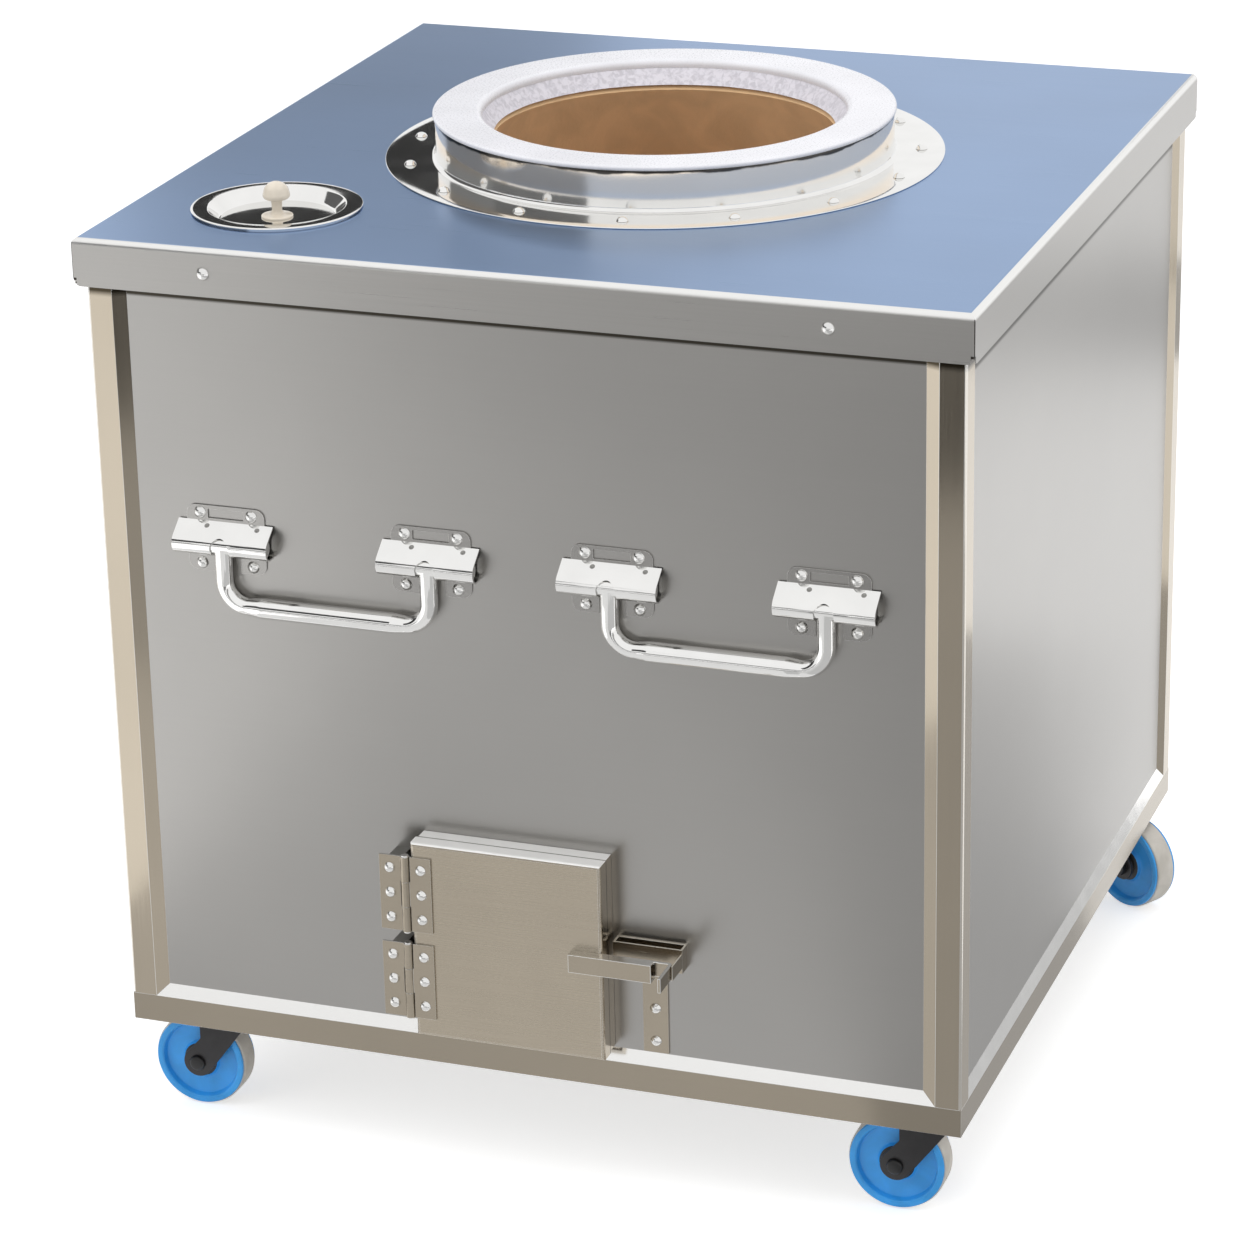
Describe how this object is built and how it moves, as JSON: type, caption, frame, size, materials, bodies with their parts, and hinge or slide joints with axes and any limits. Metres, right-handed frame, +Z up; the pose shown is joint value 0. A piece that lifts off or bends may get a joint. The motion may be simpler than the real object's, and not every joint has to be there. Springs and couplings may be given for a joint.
{
  "type": "clay tandoor oven",
  "caption": "Square steel tandoor oven on castors, with a round clay pot, raised mouth ring, lidded well, drop handles and a hinged ash door.",
  "frame": {"origin": "on the floor, below the middle of the oven's overall box", "axes": "+X to the right seen from the ash door's side, +Y to the back, +Z up"},
  "size_m": [0.8774, 0.9206, 0.952],
  "materials": {
    "stainless": "brushed stainless steel",
    "panel_steel": "fine brushed stainless steel panel",
    "cover_steel": "satin stainless steel with a blue sheen",
    "polished_steel": "mirror polished stainless steel",
    "liner_white": "mottled white mortar",
    "ring_white": "white enamelled ring",
    "clay": "unglazed baked clay",
    "brick": "rough refractory slab",
    "wool": "mineral insulation",
    "knob": "glossy cream knob",
    "black_steel": "black enamelled steel",
    "dark_steel": "dark zinc plated steel",
    "wheel_blue": "bright blue moulded plastic",
    "tread_grey": "pale grey rubber tread"
  },
  "bodies": {
    "casing": {"corner_posts": "stainless", "base_rails": "stainless", "front_panel": "panel_steel", "rear_panel": "panel_steel", "left_panel": "panel_steel", "right_panel": "panel_steel", "floor_plate": "stainless", "castor_pads": "dark_steel", "top_cover": "cover_steel", "cover_cleats": "stainless", "cover_rivets": "stainless", "mouth_collar": "polished_steel", "collar_rivets": "polished_steel", "mouth_ring": "ring_white", "rim_liner": "liner_white", "clay_pot": "clay", "hearth_slab": "brick", "insulation": "wool", "ash_duct": "stainless", "well_pot": "stainless", "handle_plates": "stainless", "handle_straps": "stainless", "handle_rivets": "stainless", "hinge_packers": "dark_steel", "hinge_fixed_leaves": "stainless", "hinge_pins": "stainless", "hinge_fixed_rivets": "stainless", "keeper_bracket": "stainless", "keeper_rivets": "stainless", "castor_plates": "dark_steel", "castor_bolts": "dark_steel"},
    "ash_door": {"door_front": "stainless", "door_rear": "stainless", "door_core": "wool", "hinge_door_leaves": "stainless", "hinge_door_rivets": "stainless", "latch_bar": "stainless"},
    "latch_catch": {"keeper_catch": "stainless"},
    "left_handle": {"left_bail": "stainless"},
    "right_handle": {"right_bail": "stainless"},
    "well_lid": {"dish_lid": "polished_steel", "lid_knob": "knob"},
    "castor_front_left": {"fork_front_left": "black_steel", "axle_front_left": "dark_steel"},
    "roller_front_left": {"wheel_front_left": "wheel_blue", "tread_front_left": "tread_grey"},
    "castor_front_right": {"fork_front_right": "black_steel", "axle_front_right": "dark_steel"},
    "roller_front_right": {"wheel_front_right": "wheel_blue", "tread_front_right": "tread_grey"},
    "castor_rear_left": {"fork_rear_left": "black_steel", "axle_rear_left": "dark_steel"},
    "roller_rear_left": {"wheel_rear_left": "wheel_blue", "tread_rear_left": "tread_grey"},
    "castor_rear_right": {"fork_rear_right": "black_steel", "axle_rear_right": "dark_steel"},
    "roller_rear_right": {"wheel_rear_right": "wheel_blue", "tread_rear_right": "tread_grey"}
  },
  "joints": [
    {"name": "ash_door_hinge", "type": "hinge", "parent": "casing", "child": "ash_door", "pos_m": [-0.12173, -0.42534, 0.248], "axis": [0, 0, -1], "range_deg": [0, 120]},
    {"name": "latch_catch_flex", "type": "hinge", "parent": "casing", "child": "latch_catch", "pos_m": [0.14452, -0.40434, 0.25285], "axis": [0, 0, 1], "range_deg": [0, 10], "stiffness_Nm_per_rad": 0.6},
    {"name": "left_handle_swing", "type": "hinge", "parent": "casing", "child": "left_handle", "pos_m": [-0.20023, -0.40084, 0.6175], "axis": [-1, 0, 0], "range_deg": [0, 80]},
    {"name": "right_handle_swing", "type": "hinge", "parent": "casing", "child": "right_handle", "pos_m": [0.18277, -0.40084, 0.6175], "axis": [-1, 0, 0], "range_deg": [0, 80]},
    {"name": "well_lid_lift", "type": "slide", "parent": "casing", "child": "well_lid", "axis": [0, 0, 1], "range_m": [0, 0.06]},
    {"name": "swivel_front_left", "type": "hinge", "parent": "casing", "child": "castor_front_left", "pos_m": [-0.35274, -0.34234, 0.1035], "axis": [0, 0, 1], "continuous": true},
    {"name": "spin_front_left", "type": "hinge", "parent": "castor_front_left", "child": "roller_front_left", "pos_m": [-0.38073, -0.34234, 0.048], "axis": [0, 1, 0], "continuous": true},
    {"name": "swivel_front_right", "type": "hinge", "parent": "casing", "child": "castor_front_right", "pos_m": [0.36727, -0.34234, 0.1035], "axis": [0, 0, 1], "continuous": true},
    {"name": "spin_front_right", "type": "hinge", "parent": "castor_front_right", "child": "roller_front_right", "pos_m": [0.33926, -0.34234, 0.048], "axis": [0, 1, 0], "continuous": true},
    {"name": "swivel_rear_left", "type": "hinge", "parent": "casing", "child": "castor_rear_left", "pos_m": [-0.35274, 0.39366, 0.1035], "axis": [0, 0, 1], "continuous": true},
    {"name": "spin_rear_left", "type": "hinge", "parent": "castor_rear_left", "child": "roller_rear_left", "pos_m": [-0.38073, 0.39366, 0.048], "axis": [0, 1, 0], "continuous": true},
    {"name": "swivel_rear_right", "type": "hinge", "parent": "casing", "child": "castor_rear_right", "pos_m": [0.36727, 0.39366, 0.1035], "axis": [0, 0, 1], "continuous": true},
    {"name": "spin_rear_right", "type": "hinge", "parent": "castor_rear_right", "child": "roller_rear_right", "pos_m": [0.39151, 0.37966, 0.048], "axis": [-0.5, -0.866, 0], "continuous": true}
  ]
}
